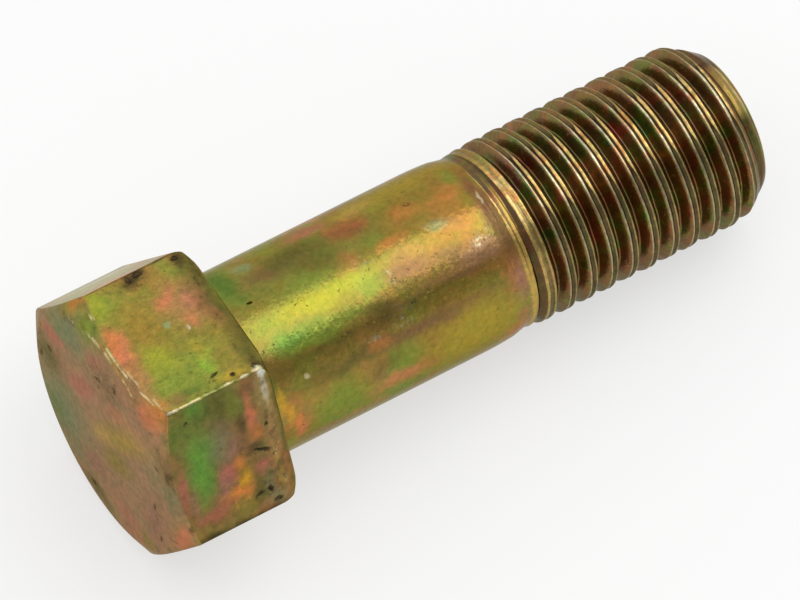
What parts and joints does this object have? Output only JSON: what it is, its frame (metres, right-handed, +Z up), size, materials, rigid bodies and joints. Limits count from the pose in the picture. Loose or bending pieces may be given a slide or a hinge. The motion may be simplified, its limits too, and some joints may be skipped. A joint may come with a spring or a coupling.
{
  "type": "hexagon head bolt",
  "caption": "Hexagon head bolt with a plain shank and a part length thread, chamfered at the head and the tip, lying on one flat of its head.",
  "frame": {"origin": "centre of the bounding box at floor level, under the bolt as it lies at rest", "axes": "+X along the bolt from the head towards the tip, which points down by 4 degrees; +Z up from the floor"},
  "size_m": [0.0378, 0.0158, 0.0141],
  "materials": {
    "plated_steel": "iridescent yellow zinc chromate over steel, worn at the edges"
  },
  "bodies": {
    "root": {"hex_bolt": "plated_steel"}
  },
  "joints": []
}
